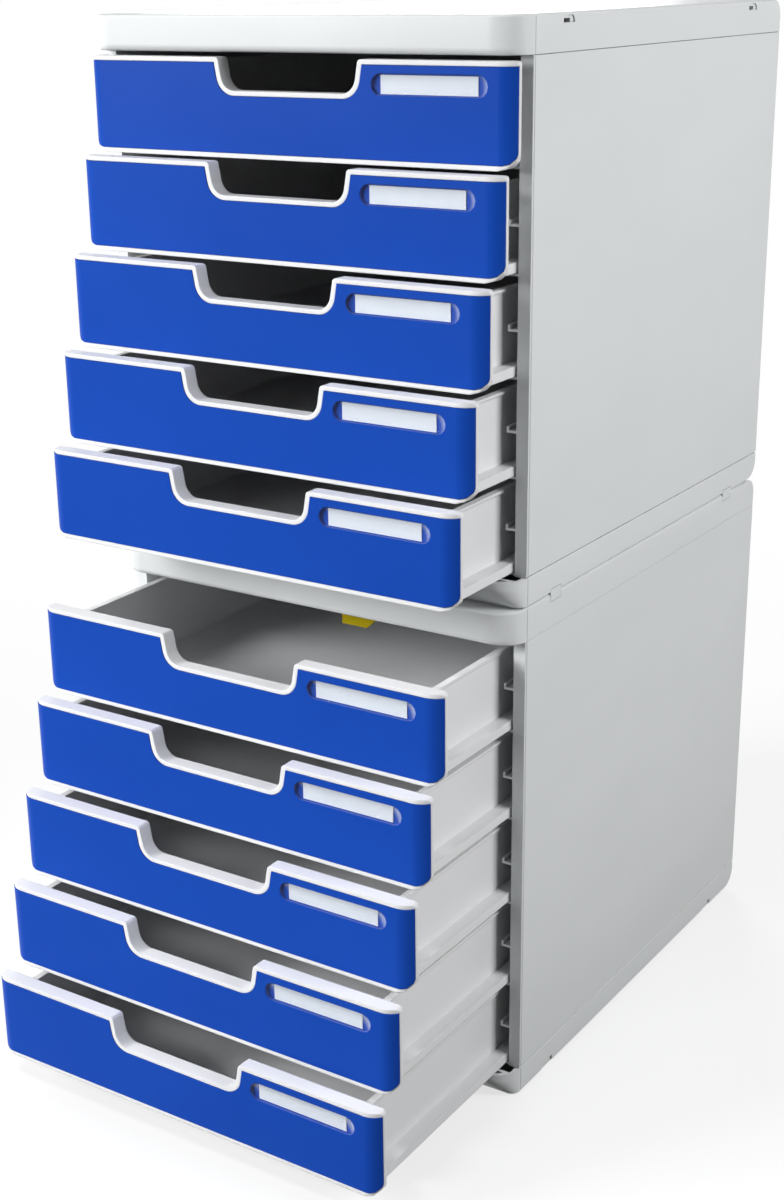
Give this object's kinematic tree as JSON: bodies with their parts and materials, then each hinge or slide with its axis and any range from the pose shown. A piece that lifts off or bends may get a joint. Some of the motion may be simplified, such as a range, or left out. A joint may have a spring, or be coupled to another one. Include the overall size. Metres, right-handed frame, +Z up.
{
  "type": "desktop drawer organizer",
  "caption": "Stacked desktop drawer organizer in light grey plastic with blue-fronted sliding trays, finger notches and label windows.",
  "frame": {"origin": "centre of the casing's footprint with the drawers closed, on the surface it stands on", "axes": "+Z up, -Y towards the drawer fronts, +X to the right seen from the front"},
  "size_m": [0.288, 0.4892, 0.64],
  "materials": {
    "casing_plastic": "light grey moulded plastic, fine satin",
    "tray_plastic": "off-white moulded plastic, satin",
    "plate_plastic": "blue plastic, smooth",
    "window_plastic": "clear plastic",
    "paper": "white paper card, plain",
    "catch_plastic": "yellow plastic, satin"
  },
  "bodies": {
    "casing": {"lower_base": "casing_plastic", "lower_lid": "casing_plastic", "lower_side_right": "casing_plastic", "lower_side_left": "casing_plastic", "lower_back": "casing_plastic", "lower_catch": "catch_plastic", "upper_base": "casing_plastic", "upper_lid": "casing_plastic", "upper_side_right": "casing_plastic", "upper_side_left": "casing_plastic", "upper_back": "casing_plastic", "upper_catch": "catch_plastic", "stacking_clips": "casing_plastic"},
    "drawer_upper_1": {"upper_tray_1": "tray_plastic", "upper_plate_1": "plate_plastic", "upper_window_1": "window_plastic", "upper_label_1": "paper"},
    "drawer_upper_2": {"upper_tray_2": "tray_plastic", "upper_plate_2": "plate_plastic", "upper_window_2": "window_plastic", "upper_label_2": "paper"},
    "drawer_upper_3": {"upper_tray_3": "tray_plastic", "upper_plate_3": "plate_plastic", "upper_window_3": "window_plastic", "upper_label_3": "paper"},
    "drawer_upper_4": {"upper_tray_4": "tray_plastic", "upper_plate_4": "plate_plastic", "upper_window_4": "window_plastic", "upper_label_4": "paper"},
    "drawer_upper_5": {"upper_tray_5": "tray_plastic", "upper_plate_5": "plate_plastic", "upper_window_5": "window_plastic", "upper_label_5": "paper"},
    "drawer_lower_1": {"lower_tray_1": "tray_plastic", "lower_plate_1": "plate_plastic", "lower_window_1": "window_plastic", "lower_label_1": "paper"},
    "drawer_lower_2": {"lower_tray_2": "tray_plastic", "lower_plate_2": "plate_plastic", "lower_window_2": "window_plastic", "lower_label_2": "paper"},
    "drawer_lower_3": {"lower_tray_3": "tray_plastic", "lower_plate_3": "plate_plastic", "lower_window_3": "window_plastic", "lower_label_3": "paper"},
    "drawer_lower_4": {"lower_tray_4": "tray_plastic", "lower_plate_4": "plate_plastic", "lower_window_4": "window_plastic", "lower_label_4": "paper"},
    "drawer_lower_5": {"lower_tray_5": "tray_plastic", "lower_plate_5": "plate_plastic", "lower_window_5": "window_plastic", "lower_label_5": "paper"}
  },
  "joints": [
    {"name": "slide_upper_1", "type": "slide", "parent": "casing", "child": "drawer_upper_1", "axis": [0, -1, 0], "range_m": [0, 0.24]},
    {"name": "slide_upper_2", "type": "slide", "parent": "casing", "child": "drawer_upper_2", "axis": [0, -1, 0], "range_m": [-0.0122, 0.2278]},
    {"name": "slide_upper_3", "type": "slide", "parent": "casing", "child": "drawer_upper_3", "axis": [0, -1, 0], "range_m": [-0.0276, 0.2124]},
    {"name": "slide_upper_4", "type": "slide", "parent": "casing", "child": "drawer_upper_4", "axis": [0, -1, 0], "range_m": [-0.0421, 0.1979]},
    {"name": "slide_upper_5", "type": "slide", "parent": "casing", "child": "drawer_upper_5", "axis": [0, -1, 0], "range_m": [-0.0575, 0.1825]},
    {"name": "slide_lower_1", "type": "slide", "parent": "casing", "child": "drawer_lower_1", "axis": [0, -1, 0], "range_m": [-0.0733, 0.1667]},
    {"name": "slide_lower_2", "type": "slide", "parent": "casing", "child": "drawer_lower_2", "axis": [0, -1, 0], "range_m": [-0.0882, 0.1518]},
    {"name": "slide_lower_3", "type": "slide", "parent": "casing", "child": "drawer_lower_3", "axis": [0, -1, 0], "range_m": [-0.1047, 0.1353]},
    {"name": "slide_lower_4", "type": "slide", "parent": "casing", "child": "drawer_lower_4", "axis": [0, -1, 0], "range_m": [-0.1215, 0.1185]},
    {"name": "slide_lower_5", "type": "slide", "parent": "casing", "child": "drawer_lower_5", "axis": [0, -1, 0], "range_m": [-0.1392, 0.1008]}
  ]
}
